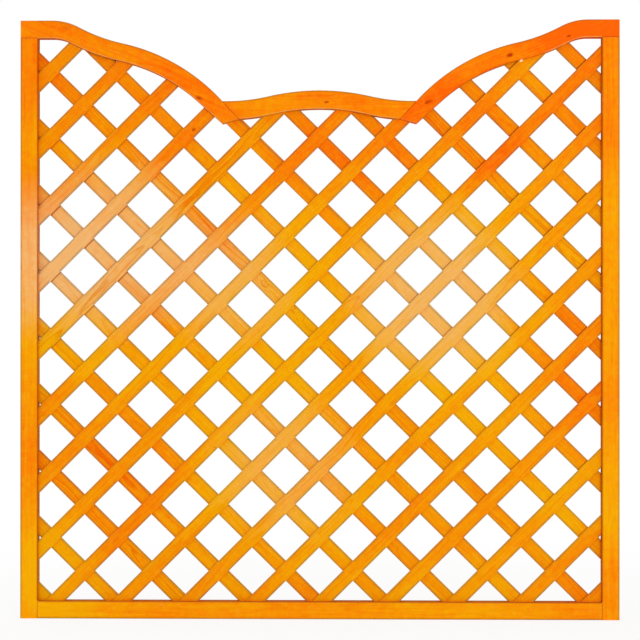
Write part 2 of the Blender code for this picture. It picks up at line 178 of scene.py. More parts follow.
# How much the stain is darkened by late wood, fibres and knots' rims, by painted shade on the sawn
# slats, which lie deeper in the frame than the planed boards, and at sawn ends
LATE_SHADE = 0.20
FIBRE_SHADE = (-0.04, 0.12)
RIM_SHADE = 0.25
SLAT_DEPTH_SHADE = 0.05
SAWN_END_SHADE = 0.3

# Scales of noise over the whole panel, per metre, and how far the first of them shifts the broad
# places
BLUR_SCALE = 7.0
BLUR = 0.06
PANEL_SCALE = 3.2
BLOTCH_SCALE = 65.0
KNOT_SCALE = 90.0
# Scales of noise in a board's own frame: along the grain, through the board and across its face
BEND_SCALE = (1.6, 5.0, 5.0)
RIPPLE_SCALE = (9.0, 70.0, 70.0)
FIBRE_SCALE = (14.0, 900.0, 900.0)
STREAK_SCALE = (3.0, 150.0, 150.0)
BOARD_SCALE = (2.6, 8.0, 8.0)
BROKEN_SCALE = (30.0, 200.0, 200.0)

# Year rings: how far the tree bends, how far off a board's pith may be, through it and as a share
# of its half face, how wide a year is, how dark the wood is through the year, and how weak the
# weakest year is
TREE_BEND = 0.045
PITH_DEPTH = (0.035, 0.075)
PITH_ASIDE = 0.9
YEAR_WIDTH = (0.0026, 0.0040)
YEAR_SHADES = ((0.0, 0.0), (0.5, 0.1), (0.86, 1.0), (1.0, 0.0))
WEAKEST_YEAR = 0.35

# Knots, in their radii: how ragged they are, how far they push the rings aside and up to what
# distance, how far the heart reaches, and where the dark rim lies and how far to each side
KNOT_RAGGED = 0.3
KNOT_PUSH = 1.4
KNOT_PUSH_REACH = 4.0
KNOT_HEART_REACH = 1.5
KNOT_RIM_AT = 0.6
KNOT_RIM_REACH = 0.35
# Knots and chips are this wide for their length
OVAL = 0.5

# Which parts of a board's surface count as its sides and as its arrises, by how far they face
# the front or back, from 0 to 1
SIDE_FLATNESS = (0.25, 0.6)
ARRIS_RISE = (0.10, 0.35)
ARRIS_FALL = (0.80, 0.985)
# The same for facing into the opening, and for facing along the grain at joints and sawn ends
INNER_FACING = (0.0, 0.2)
JOINT_FACING = (0.2, 0.5)
SAWN_FACING = (0.75, 0.95)
# How much of an edge's line is left where it is broken
BROKEN_LEFT = 0.6

# A slat's sides in painted shade and a dark band along its edges, out of its stain: how much of
# each channel stays, and what grey is added
EDGE_KEPT = (0.44, 0.50, 0.8)
EDGE_GREY = (0.02, 0.05, 0.025)
# The dark band along it: how far in from the edge it starts and is full, and how dark it is
BAND_START = 0.0076
BAND_FULL = 0.0034
BAND_DARK = 0.74
# Its outside, where the band fades: how far in that starts and is full, and how much of the band
# is left there
BAND_OUTSIDE_START = 0.0025
BAND_OUTSIDE_FULL = 0.0005
BAND_OUTSIDE_LEFT = 0.6
# How much of the dark edge is left where the other layer covers it, on the slat's lower and upper
# half, and over what lengths that changes from half to half and into the open
COVERED_LOWER = 0.04
COVERED_UPPER = 0.25
HALVES_BLEND = 0.001
COVERED_BLEND = 0.002
# The painted shade line on rear slats beside the front slats: how far outside their edge its
# middle is, and how far from there it is full and where it ends
LINE_OUTSIDE = 0.0008
LINE_FULL = 0.0008
LINE_END = 0.0028
# How dark it is above a front slat: what is drawn for each rear slat, and how it grows from one of
# them on, to the upper right: over how many, and by what power
LINE_ABOVE = (0.0, 0.06)
LINE_FIRST_SLAT = 5
LINE_SLATS = 10
LINE_GROWTH = 1.6
# How dark it is below a front slat, around one place, as x, z and radius, up to what share of that
# radius it is full, and how much of it shows above too
LINE_BELOW = (0.6, 0.9)
LATE_CONTACT = (-0.78, 1.12, 0.46)
LATE_FULL = 0.4
LATE_ABOVE = 0.6
# Places that count as on the front, by how far they face it
FRONT_FACING = (0.3, 0.7)
# Painted shade at the slats' ends, where they go into the frame: how near the frame it is full,
# how far it reaches from the stiles and from the rail, and how much there is
END_FULL = 0.001
END_REACH_STILE = 0.005
END_REACH_RAIL = 0.008
END_SHADE_SHARE = 0.35

# Frame boards: over what length their marks fade at the opening's ends, and the pale arris where
# it starts along the panel
OPEN_FADE = 0.004
PALE_FADE = 0.04
# The dark band inside the outer edge, where it is full, where it ends and how dark it is, and how
# dark the painted shade on the outer arris is and how pale the painted highlight on the arris at a
# joint
OUTER_FULL = 0.0030
OUTER_END = 0.0070
OUTER_DARK = 0.45
OUTER_ARRIS_SHADE = 0.6
JOINT_HIGHLIGHT = 0.3
# The painted shade line at a straight board's opening: where it is full, where it ends, how dark
# it is
EDGE_SHADE_FULL = 0.0005
EDGE_SHADE_END = 0.0050
EDGE_SHADE_DARK = 0.6
# Inside the opening, the share of painted shade at the front, and from where to where, through the
# panel, it grows to all of it, deeper in the groove
GROOVE_SHADE_FRONT = 0.6
GROOVE_SHADE_GROWS = (-0.014, -0.004)

# Roughness of planed wood, what fibres, thin stain and a board's sides add to it, and the sheen
PLANED_ROUGH = 0.44
FIBRE_ROUGH = 0.16
THIN_ROUGH = 0.12
SIDE_ROUGH = 0.45
STAIN_SPECULAR = 0.35
# Relief: its share and height, what late wood adds to the fibres' and what a knot's rim takes
PINE_RELIEF = 0.35
PINE_HEIGHT = 0.0004
LATE_RELIEF = 0.5
RIM_RELIEF = 0.6

# Zinc plate of the screws and the staples, as colour and roughness, and how it varies
SCREW_ZINC = (colour(196, 190, 160), 0.28)
WIRE_ZINC = (colour(188, 186, 178), 0.34)
SPANGLE_SCALE = 700.0
FILM_SCALE = 160.0
ZINC_BRIGHT = 1.15
ZINC_DULL = 0.55
FILM_SHARE = 0.5
FILM_ROUGH = 0.2
ZINC_RELIEF = 0.3
ZINC_HEIGHT = 0.0001

# Broad places on the panel, as x, z, radius and strength: where the stain leans red or amber,
# and where it is thin. Each is full up to a share of its radius.
PLACE_FULL = 0.25
RED_PLACES = (
    (0.82, 1.75, 0.60, 0.35),
    (-0.86, 1.78, 0.40, 0.30),
    (0.05, 1.47, 0.30, 0.30),
    (0.42, 1.48, 0.28, 0.30),
    (-0.42, 1.56, 0.34, 0.30),
    (-0.66, 0.42, 0.34, 0.20),
    (0.80, 0.78, 0.34, 0.25),
    (0.84, 0.10, 0.25, 0.30),
    (-0.80, 1.13, 0.25, 0.20),
)
AMBER_PLACES = (
    (-0.80, 0.90, 0.25, 0.30),
    (-0.18, 0.85, 0.36, 0.30),
    (0.38, 1.00, 0.40, 0.50),
    (0.44, 0.66, 0.30, 0.25),
    (0.80, 0.36, 0.24, 0.25),
    (-0.15, 0.40, 0.40, 0.25),
    (-0.82, 0.10, 0.25, 0.25),
    (0.56, 1.62, 0.18, 0.20),
)
THIN_PLACES = (
    (-0.62, 1.12, 0.34, 0.75),
    (-0.88, 1.08, 0.28, 0.60),
    (-0.28, 1.02, 0.26, 0.40),
    (0.34, 0.98, 0.32, 0.65),
    (-0.10, 0.46, 0.28, 0.30),
)

# Slats whose year rings show strongly, and how strongly those and the others show
LIVELY_SLATS = ("front_slat_13", "rear_slat_09", "rear_slat_14", "rear_slat_03", "rear_slat_04")
LIVELY_FIGURE = 0.95
SLAT_FIGURE = 0.4
# A splintered chip, as x, z and radius, at the right arch's under edge and on the slat below it,
# how it slopes, up to what share of its radius it is full, and how much bare wood it shows
RIGHT_CHIPS = ((0.6065, 1.678, 0.0036),)
CHIP_SLOPE = math.radians(17.0)
CHIP_FULL = 0.5
CHIP_SHOWS = 0.95
# Knots, as x, z, radius and how dark
BOARD_KNOTS = {
    "arch_board_left": ((-0.763, 1.777, 0.007, 0.25), (-0.362, 1.566, 0.0055, 0.9)),
    "arch_board_right": (
        (0.326, 1.553, 0.006, 0.9),
        (0.572, 1.693, 0.006, 1.0),
        (0.748, 1.750, 0.0035, 0.9),
    ),
    "crown_board": ((0.020, 1.553, 0.0040, 1.0),),
    "front_slat_14": ((-0.379, 1.472, 0.0045, 0.9),),
    "front_slat_09": ((-0.315, 0.515, 0.0016, 0.5),),
    "rear_slat_09": (
        (-0.168, 1.0045, 0.0045, 0.30),
        (-0.078, 0.924, 0.0040, 0.30),
        (-0.035, 0.8765, 0.012, 0.15),
    ),
}
# Seeds for a board's rings and for where its own frame starts. A slat adds its number to its
# layer's seed.
BOARD_SEEDS = {
    "stile_left": 100,
    "stile_right": 102,
    "bottom_rail": 103,
    "arch_board_left": 104,
    "arch_board_right": 105,
    "crown_board": 106,
}
LAYER_SEEDS = {"front": 200, "rear": 300}
DOWEL_SEED = 400
# Where along the grain the frame of seed 0 would start, and how much further each next one does
FIRST_START = 1.0
STARTS_APART = 2.37


class Graph:
    """Short names for adding shader nodes to one tree."""

    def __init__(self, tree):
        self.tree = tree

    def add(self, kind, **settings):
        node = self.tree.nodes.new(kind)
        for name, value in settings.items():
            setattr(node, name, value)
        return node

    def feed(self, socket, value):
        if isinstance(value, bpy.types.NodeSocket):
            self.tree.links.new(value, socket)
        elif value is not None:
            socket.default_value = value

    def math(self, operation, first, second=None, third=None, clamp=False):
        node = self.add("ShaderNodeMath", operation=operation, use_clamp=clamp)
        for socket, value in zip(node.inputs, (first, second, third)):
            self.feed(socket, value)
        return node.outputs[0]

    def times(self, first, *others):
        """The product of numbers."""
        for other in others:
            first = self.math("MULTIPLY", first, other)
        return first

    def vector(self, operation, first, second=None, scale=None):
        node = self.add("ShaderNodeVectorMath", operation=operation)
        self.feed(node.inputs[0], first)
        self.feed(node.inputs[1], second)
        self.feed(node.inputs[3], scale)
        one_number = operation in ("LENGTH", "DISTANCE", "DOT_PRODUCT")
        return node.outputs["Value" if one_number else "Vector"]

    def dot(self, vector, way):
        return self.vector("DOT_PRODUCT", vector, way)

    def split(self, vector):
        node = self.add("ShaderNodeSeparateXYZ")
        self.feed(node.inputs[0], vector)
        return node.outputs

    def turn(self, vector, slope, shift=(0.0, 0.0, 0.0)):
        """A vector turned so that what runs at a slope in the panel runs along X, then moved."""
        node = self.add("ShaderNodeMapping", vector_type="POINT")
        self.feed(node.inputs["Vector"], vector)
        node.inputs["Rotation"].default_value = (0.0, slope, 0.0)
        node.inputs["Location"].default_value = shift
        return node.outputs["Vector"]

    def away(self, place, x, z):
        """How far a place is from a spot, in the panel's plane."""
        flat = self.vector("MULTIPLY", place, (1.0, 0.0, 1.0))
        return self.vector("DISTANCE", flat, (x, 0.0, z))

    def oval(self, place, x, z, slope):
        """How far a place is from a spot, by ovals that lie along a slope."""
        flat = self.turn(self.vector("SUBTRACT", place, (x, 0.0, z)), slope)
        return self.vector("LENGTH", self.vector("MULTIPLY", flat, (OVAL, 0.0, 1.0)))

    def noise(self, vector, scale, detail=2.0, roughness=0.5, coloured=False):
        """Noise of one scale, or of one for each axis."""
        if isinstance(scale, tuple):
            vector, scale = self.vector("MULTIPLY", vector, scale), 1.0
        node = self.add("ShaderNodeTexNoise", noise_dimensions="3D")
        self.feed(node.inputs["Vector"], vector)
        node.inputs["Scale"].default_value = scale
        node.inputs["Detail"].default_value = detail
        node.inputs["Roughness"].default_value = roughness
        return node.outputs["Color" if coloured else "Fac"]

    def remap(self, value, low, high, to_low=0.0, to_high=1.0, kind="SMOOTHSTEP"):
        node = self.add("ShaderNodeMapRange", interpolation_type=kind)
        for name, number in (
            ("Value", value),
            ("From Min", low),
            ("From Max", high),
            ("To Min", to_low),
            ("To Max", to_high),
        ):
            self.feed(node.inputs[name], number)
        return node.outputs["Result"]

    def swing(self, noise, most, reach=0.2):
        """Noise as a swing to both sides of 0, full where it is this far from its middle."""
        return self.remap(noise, 0.5 - reach, 0.5 + reach, -most, most, "LINEAR")

    def mix(self, share, first, second):
        node = self.add("ShaderNodeMix", data_type="RGBA")
        self.feed(node.inputs[0], share)
        self.feed(node.inputs[6], first)
        self.feed(node.inputs[7], second)
        return node.outputs[2]

    def ramp(self, value, stops):
        node = self.add("ShaderNodeValToRGB")
        points = node.color_ramp.elements
        while len(points) < len(stops):
            points.new(0.5)
        for point, (spot, shade) in zip(points, stops):
            point.position = spot
            point.color = shade
        self.feed(node.inputs["Fac"], value)
        return node.outputs["Color"]

    def bump(self, shader, height, strength, distance):
        node = self.add("ShaderNodeBump")
        node.inputs["Strength"].default_value = strength
        node.inputs["Distance"].default_value = distance
        self.feed(node.inputs["Height"], height)
        self.feed(shader.inputs["Normal"], node.outputs["Normal"])

    def here(self):
        return self.add("ShaderNodeTexCoord").outputs["Object"]

    def seen(self):
        """1 for rays that show a thing, straight, mirrored or through glass, and 0 for others."""
        path = self.add("ShaderNodeLightPath").outputs
        seen = self.math("MAXIMUM", path["Is Camera Ray"], path["Is Glossy Ray"])
        return self.math("MAXIMUM", seen, path["Is Transmission Ray"])

    def group(self, tree, **inputs):
        node = self.add("ShaderNodeGroup", node_tree=tree)
        for name, value in inputs.items():
            self.feed(node.inputs[name], value)
        return node.outputs


def new_group(name, inputs, outputs):
    tree = bpy.data.node_groups.new(name, "ShaderNodeTree")
    for word, kind in inputs:
        tree.interface.new_socket(word, in_out="INPUT", socket_type=kind)
    for word in outputs:
        tree.interface.new_socket(word, in_out="OUTPUT", socket_type="NodeSocketFloat")
    graph = Graph(tree)
    return tree, graph, graph.add("NodeGroupInput").outputs, graph.add("NodeGroupOutput").inputs


def new_material(name):
    """A material, its graph and its shader."""
    made = bpy.data.materials.new(name)
    made.use_nodes = True
    return made, Graph(made.node_tree), made.node_tree.nodes["Principled BSDF"]


def new_object(name, data):
    made = bpy.data.objects.new(name, data)
    bpy.context.scene.collection.objects.link(made)
    return made


def stain_places():
    """Group: how amber the stain is at a place, from 0 for red to 1, and how thin it is."""
    tree, graph, _, out = new_group("stain_places", (), ("Tone", "Thin"))
    here = graph.here()
    blur = graph.noise(here, BLUR_SCALE, coloured=True)
    blur = graph.vector("SUBTRACT", blur, (0.5, 0.5, 0.5))
    moved = graph.vector("ADD", here, graph.vector("SCALE", blur, scale=BLUR))

    def places(spots):
        total = 0.0
        for x, z, radius, most in spots:
            away = graph.away(moved, x, z)
            share = graph.remap(away, PLACE_FULL * radius, radius, most, 0.0)
            total = graph.math("ADD", total, share)
        return total

    drift = graph.swing(graph.noise(here, PANEL_SCALE), PANEL_SWING, 0.25)
    tone = graph.math("ADD", MIDDLE_TONE, places(AMBER_PLACES))
    tone = graph.math("SUBTRACT", tone, places(RED_PLACES))
    blotch = graph.split(graph.noise(here, BLOTCH_SCALE, coloured=True))
    warm = graph.swing(blotch["X"], BLOTCH_SWING)
    graph.feed(out["Tone"], graph.math("ADD", tone, graph.math("ADD", drift, warm)))
    bare = graph.remap(blotch["Y"], 0.3, 0.7, *THIN_BLOTCHES, "LINEAR")
    thin = graph.times(places(THIN_PLACES), bare)
    thin = graph.math("ADD", thin, graph.remap(blotch["Y"], 0.5, 0.75, 0.0, THIN_SPECKLE))
    graph.feed(out["Thin"], graph.math("MINIMUM", thin, 1.0))
    return tree


def pine_figure():
    """Group: year rings, fibres and streaks of a board, in its own frame.

    Board runs along its grain by X, through its thickness by Y and across its face by Z. Pith is
    where the middle of the tree was.
    """
    inputs = (
        ("Board", "NodeSocketVector"),
        ("Pith", "NodeSocketVector"),
        ("Ring", "NodeSocketFloat"),
        ("Push", "NodeSocketFloat"),
    )
    tree, graph, given, out = new_group("pine_figure", inputs, ("Late", "Fibre", "Streak"))
    board = given["Board"]
    bend = graph.vector("SUBTRACT", graph.noise(board, BEND_SCALE, coloured=True), (0.5, 0.5, 0.5))
    bend = graph.vector("MULTIPLY", bend, (0.0, TREE_BEND, TREE_BEND))
    from_pith = graph.vector("ADD", graph.vector("SUBTRACT", board, given["Pith"]), bend)
    from_pith = graph.vector("MULTIPLY", from_pith, (0.0, 1.0, 1.0))
    reach = graph.math("ADD", graph.vector("LENGTH", from_pith), given["Push"])
    ripple = graph.noise(board, RIPPLE_SCALE)
    year = graph.math("ADD", graph.math("DIVIDE", reach, given["Ring"]), ripple)
    shades = tuple((spot, (dark, dark, dark, 1.0)) for spot, dark in YEAR_SHADES)
    late = graph.ramp(graph.math("FRACT", year), shades)
    which = graph.add("ShaderNodeTexWhiteNoise", noise_dimensions="1D")
    graph.feed(which.inputs["W"], graph.math("FLOOR", year))
    strength = graph.remap(which.outputs["Value"], 0.0, 1.0, WEAKEST_YEAR, 1.0, "LINEAR")
    graph.feed(out["Late"], graph.times(late, strength))
    graph.feed(out["Fibre"], graph.noise(board, FIBRE_SCALE, detail=3.0, roughness=0.6))
    graph.feed(out["Streak"], graph.noise(board, STREAK_SCALE, detail=3.0, roughness=0.55))
    return tree


STAIN_PLACES = stain_places()
PINE_FIGURE = pine_figure()


@dataclass
class SlatLine:
    """The middle line of one slat: its nearest point to the lattice's centre, and its slope."""

    centre: Vector
    slope: float

    def along(self):
        return Vector((math.cos(self.slope), 0.0, math.sin(self.slope)))

    def across(self):
        return Vector((-math.sin(self.slope), 0.0, math.cos(self.slope)))

    def reach(self, other):
        """How far along from its centre it meets another line."""
        return other.across().dot(other.centre - self.centre) / other.across().dot(self.along())


def slat_line(node, slope):
    """The line of a slat whose slope is nearly this, read from the long sides of its solid."""
    nearly = Vector((-math.sin(slope), 0.0, math.cos(slope)))
    sides = {-1: [], 1: []}
    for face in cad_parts[node].data.polygons:
        if abs(face.normal.dot(nearly)) > LONG_SIDE:
            sides[1 if face.normal.dot(nearly) > 0 else -1].append(face)
    across = Vector()
    for side, faces in sides.items():
        for face in faces:
            across += side * face.area * face.normal
    across.normalize()
    middles = []
    for side, faces in sides.items():
        area = sum(face.area for face in faces)
        if area:
            edge = sum(face.area * across.dot(face.center) for face in faces) / area
            middles.append(edge - side * SLAT_WIDTH / 2)
    away = sum(middles) / len(middles) - across.dot(LATTICE_CENTRE)
    return SlatLine(LATTICE_CENTRE + away * across, math.atan2(-across.x, across.z))


def slat_lines(layer, slope):
    """The lines of a layer's slats by their nodes' names, in the order of their numbers."""
    names = [f"{layer}_slat_{number:02d}" for number in range(1, SLATS_EACH_WAY + 1)]
    return {name: slat_line(name, slope) for name in names}


SLAT_LINES = {
    "front": slat_lines("front", FRONT_SLOPE),
    "rear": slat_lines("rear", REAR_SLOPE),
}


def solid_tree(node):
    """A node's solid, for casting rays at."""
    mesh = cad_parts[node].data
    return BVHTree.FromPolygons([v.co for v in mesh.vertices], [p.vertices for p in mesh.polygons])


@dataclass
class Board:
    """One piece of pine: how its grain runs, and what is particular about it.

    The grain runs at a slope in the panel's plane, through a centre of x, y and z.
    """

    name: str
    slope: float
    centre: tuple
    half_face: float
    seed: int
    # How far its tone leans towards amber, and how strongly its year rings show
    lean: float = 0.0
    figure: float = 0.35
    # Chips that show bare wood, each as x, z and radius
    chips: tuple = ()
    # Frame boards: the way from the outer edge to the opening, how pale the arris is there, as
    # worn stain and painted highlight, and from where along the panel, how much painted shade
    # there is inside, and the axis and stretch along which it is open
    inward: tuple = (0.0, 0.0)
    pale: float = 0.0
    pale_from: float = -2.0
    inside_shade: float = 0.6
    open_along: tuple = ("X", -1.0, 1.0)
    # How much of the dark outer edge is left outside that stretch
    edge_left: float = 1.0
    curved: bool = False
    # Slats: how far along from the centre the other layer's slats cross
    crossings: tuple = ()
    # Rear slats: how dark the painted shade is against the front slats, above and below each of
    # them
    contact_shade: tuple = ()


@dataclass
class Skin:
    """What a board's shader knows about the point that it colours."""

    graph: Graph
    # Its place in the panel's frame and in the board's own, and the way the surface faces
    here: bpy.types.NodeSocket
    own: bpy.types.NodeSocket
    facing: bpy.types.NodeSocket
    # How far it is on the board's side, on an arris, and where an edge's line isn't broken
    side: bpy.types.NodeSocket
    arris: bpy.types.NodeSocket
    broken: bpy.types.NodeSocket


def own_start(seed):
    """Where along the grain a board's own frame starts, so that no two boards match."""
    return seed * STARTS_APART + FIRST_START


def knot_marks(graph, board, here):
    """How far knots push the rings aside, and masks of their hearts and of their dark rings."""
    push, heart, rim = 0.0, 0.0, 0.0
    wobble = graph.noise(here, KNOT_SCALE)
    for x, z, radius, dark in BOARD_KNOTS.get(board.name, ()):
        uneven = graph.swing(wobble, KNOT_RAGGED * radius)
        away = graph.math("ADD", graph.oval(here, x, z, board.slope), uneven)
        aside = graph.remap(away, 0.0, KNOT_PUSH_REACH * radius, KNOT_PUSH * radius, 0.0)
        push = graph.math("ADD", push, aside)
        inside = graph.remap(away, 0.0, KNOT_HEART_REACH * radius, dark, 0.0)
        heart = graph.math("MAXIMUM", heart, inside)
        off_rim = graph.math("ABSOLUTE", graph.math("SUBTRACT", away, KNOT_RIM_AT * radius))
        on_rim = graph.remap(off_rim, 0.0, KNOT_RIM_REACH * radius, dark, 0.0)
        rim = graph.math("MAXIMUM", rim, on_rim)
    return push, heart, rim


def nearest(graph, place, board):
    """How far a place along a slat is from the nearest slat that crosses it, three at a time."""
    wide = graph.add("ShaderNodeCombineXYZ")
    for socket in wide.inputs:
        graph.feed(socket, place)
    start = own_start(board.seed)
    spots = [start + spot for spot in board.crossings]
    spots += spots[-1:] * (-len(spots) % 3)
    least = None
    for first in range(0, len(spots), 3):
        away = graph.vector("SUBTRACT", wide.outputs[0], tuple(spots[first : first + 3]))
        away = graph.vector("ABSOLUTE", away)
        least = away if least is None else graph.vector("MINIMUM", least, away)
    apart = graph.split(least)
    return graph.math("MINIMUM", graph.math("MINIMUM", apart["X"], apart["Y"]), apart["Z"])


def contact_shade_lines(board, skin, place, stain):
    """Painted shade lines on a rear slat beside the front slats, above and below each of them."""
    graph = skin.graph
    above, below = board.contact_shade
    x, z, radius = LATE_CONTACT
    late = graph.remap(graph.away(skin.here, x, z), LATE_FULL * radius, radius, below, 0.0)
    early = graph.math("MAXIMUM", graph.times(late, LATE_ABOVE), above)
    touching = graph.remap(graph.dot(skin.facing, (0.0, -1.0, 0.0)), *FRONT_FACING)
    for way, share in ((1, early), (-1, late)):
        past = graph.math("ADD", place, way * (SLAT_WIDTH / 2 + LINE_OUTSIDE))
        line = graph.remap(nearest(graph, past, board), LINE_FULL, LINE_END, 1.0, 0.0)
        stain = graph.mix(graph.times(line, touching, share), stain, PAINTED_CONTACT_SHADE)
    return stain


def slat_edges(board, skin, stain):
    """Painted shade on the sides and dark bands along the edges, less where the other layer covers
    them, and painted shade at the ends.
    """
    graph = skin.graph
    place = graph.dot(skin.own, (1.0, 0.0, 0.0))
    upper = graph.dot(skin.own, (0.0, 0.0, 1.0))
    across = graph.math("ABSOLUTE", upper)
    half = board.half_face
    band = graph.remap(across, half - BAND_START, half - BAND_FULL, 0.0, BAND_DARK)
    band_outside = graph.remap(across, half - BAND_OUTSIDE_START, half - BAND_OUTSIDE_FULL, 1.0, BAND_OUTSIDE_LEFT)
    # Painted shade on the slat's sides, and the dark band along its edges
    dark = graph.math("MAXIMUM", graph.times(band, band_outside), skin.side)
    least = graph.remap(upper, -HALVES_BLEND, HALVES_BLEND, COVERED_LOWER, COVERED_UPPER)
    near, clear = SLAT_WIDTH / 2 - COVERED_BLEND, SLAT_WIDTH / 2 + COVERED_BLEND
    bare = graph.remap(nearest(graph, place, board), near, clear, least, 1.0)
    edge = graph.vector("ADD", graph.vector("MULTIPLY", stain, EDGE_KEPT), EDGE_GREY)
    stain = graph.mix(graph.times(dark, skin.broken, bare), stain, edge)
    # Painted shade on the rear slats beside the front slats' edges
    if board.contact_shade:
        stain = contact_shade_lines(board, skin, place, stain)
    # Painted shade, a deep red, where the slats go into the frame
    spot = graph.split(skin.here)
    sides = graph.math("ABSOLUTE", spot["X"])
    sides = graph.remap(sides, OPENING_HALF - END_REACH_STILE, OPENING_HALF - END_FULL)
    foot = graph.remap(spot["Z"], RAIL_TOP + END_FULL, RAIL_TOP + END_REACH_RAIL, 1.0, 0.0)
    for share in (sides, foot):
        stain = graph.mix(graph.times(share, END_SHADE_SHARE), stain, END_SHADE_RED)
    return stain


def top_edge(graph, board, along):
    """How high a curved board's top edge runs at each place along the panel."""
    low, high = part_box(board.name)
    solid = solid_tree(board.name)
    length, rise = high[0] - low[0], high[2] - low[2]
    start, end = low[0] + TOP_EDGE_END * length, high[0] - TOP_EDGE_END * length
    node = graph.add("ShaderNodeFloatCurve")
    curve = node.mapping.curves[0]
    for step in range(TOP_EDGE_STEPS + 1):
        share = step / TOP_EDGE_STEPS
        above = Vector((start + share * (end - start), CHEEK, high[2] + RAY_START))
        hit = solid.ray_cast(above, Vector((0.0, 0.0, -1.0)))[0]
        spot = (share, (hit.z - low[2]) / rise)
        if 0 < step < TOP_EDGE_STEPS:
            curve.points.new(*spot)
        else:
            curve.points[-1 if step else 0].location = spot
    node.mapping.update()
    graph.feed(node.inputs["Value"], graph.remap(along, start, end, kind="LINEAR"))
    return graph.math("MULTIPLY_ADD", node.outputs["Value"], rise, low[2])


def frame_edges(board, skin, stain):
    """Pale arris at the opening, thin worn stain with a painted highlight, a dark one outside in
    painted shade, and painted shade inside.
    """
    graph = skin.graph
    inward = (board.inward[0], 0.0, board.inward[1])
    inner = graph.remap(graph.dot(skin.facing, inward), *INNER_FACING)
    spot = graph.split(skin.here)
    axis, low, high = board.open_along
    rising = graph.remap(spot[axis], low, low + OPEN_FADE)
    falling = graph.remap(spot[axis], high - OPEN_FADE, high, 1.0, 0.0)
    clear = graph.times(rising, falling)
    started = graph.remap(spot["X"], board.pale_from, board.pale_from + PALE_FADE)
    # Pale arris at the opening: thin worn stain, with a painted highlight
    pale = graph.times(skin.arris, inner, skin.broken, clear, started, board.pale)
    stain = graph.mix(pale, stain, WORN_ARRIS_AND_HIGHLIGHT)

    # Outer edge, which a joint's arris is no part of: a dark band and painted shade on the arris,
    # and a painted highlight on a joint's arris
    along = (math.cos(board.slope), 0.0, math.sin(board.slope))
    joint = graph.math("ABSOLUTE", graph.dot(skin.facing, along))
    joint = graph.remap(joint, *JOINT_FACING)
    if board.curved:
        deep = graph.math("SUBTRACT", top_edge(graph, board, spot["X"]), spot["Z"])
    else:
        deep = graph.dot(graph.vector("SUBTRACT", skin.here, board.centre), inward)
        deep = graph.math("ADD", deep, board.half_face)
    kept = graph.remap(clear, 0.0, 1.0, board.edge_left, 1.0, "LINEAR")
    band = graph.remap(deep, OUTER_FULL, OUTER_END, OUTER_DARK, 0.0)
    stain = graph.mix(graph.times(band, kept, skin.broken), stain, BOARD_EDGE)
    # Painted shade on the outer arris
    outer = graph.times(skin.arris, graph.math("SUBTRACT", 1.0, inner))
    outer = graph.times(outer, graph.remap(joint, 0.0, 1.0, OUTER_ARRIS_SHADE, 0.0, "LINEAR"))
    stain = graph.mix(graph.times(outer, kept), stain, BOARD_EDGE)
    # Painted highlight on the arris at a joint
    stain = graph.mix(graph.times(skin.arris, joint, JOINT_HIGHLIGHT), stain, WORN_ARRIS_AND_HIGHLIGHT)

    # Inside the opening: painted shade along a straight board's edge, and on the sides, deeper in
    # the groove
    if not board.curved:
        near = graph.math("SUBTRACT", 2 * board.half_face, deep)
        edge_shade = graph.remap(near, EDGE_SHADE_FULL, EDGE_SHADE_END, EDGE_SHADE_DARK, 0.0)
        stain = graph.mix(graph.times(edge_shade, clear), stain, OPENING_EDGE_SHADE)
    # Painted shade on the sides inside the opening, darker deeper in the groove
    behind = graph.remap(spot["Y"], *GROOVE_SHADE_GROWS, GROOVE_SHADE_FRONT, 1.0)
    inside_shade = graph.times(skin.side, inner, clear, behind, board.inside_shade)
    return graph.mix(inside_shade, stain, DARK_STAIN_AND_SHADE)


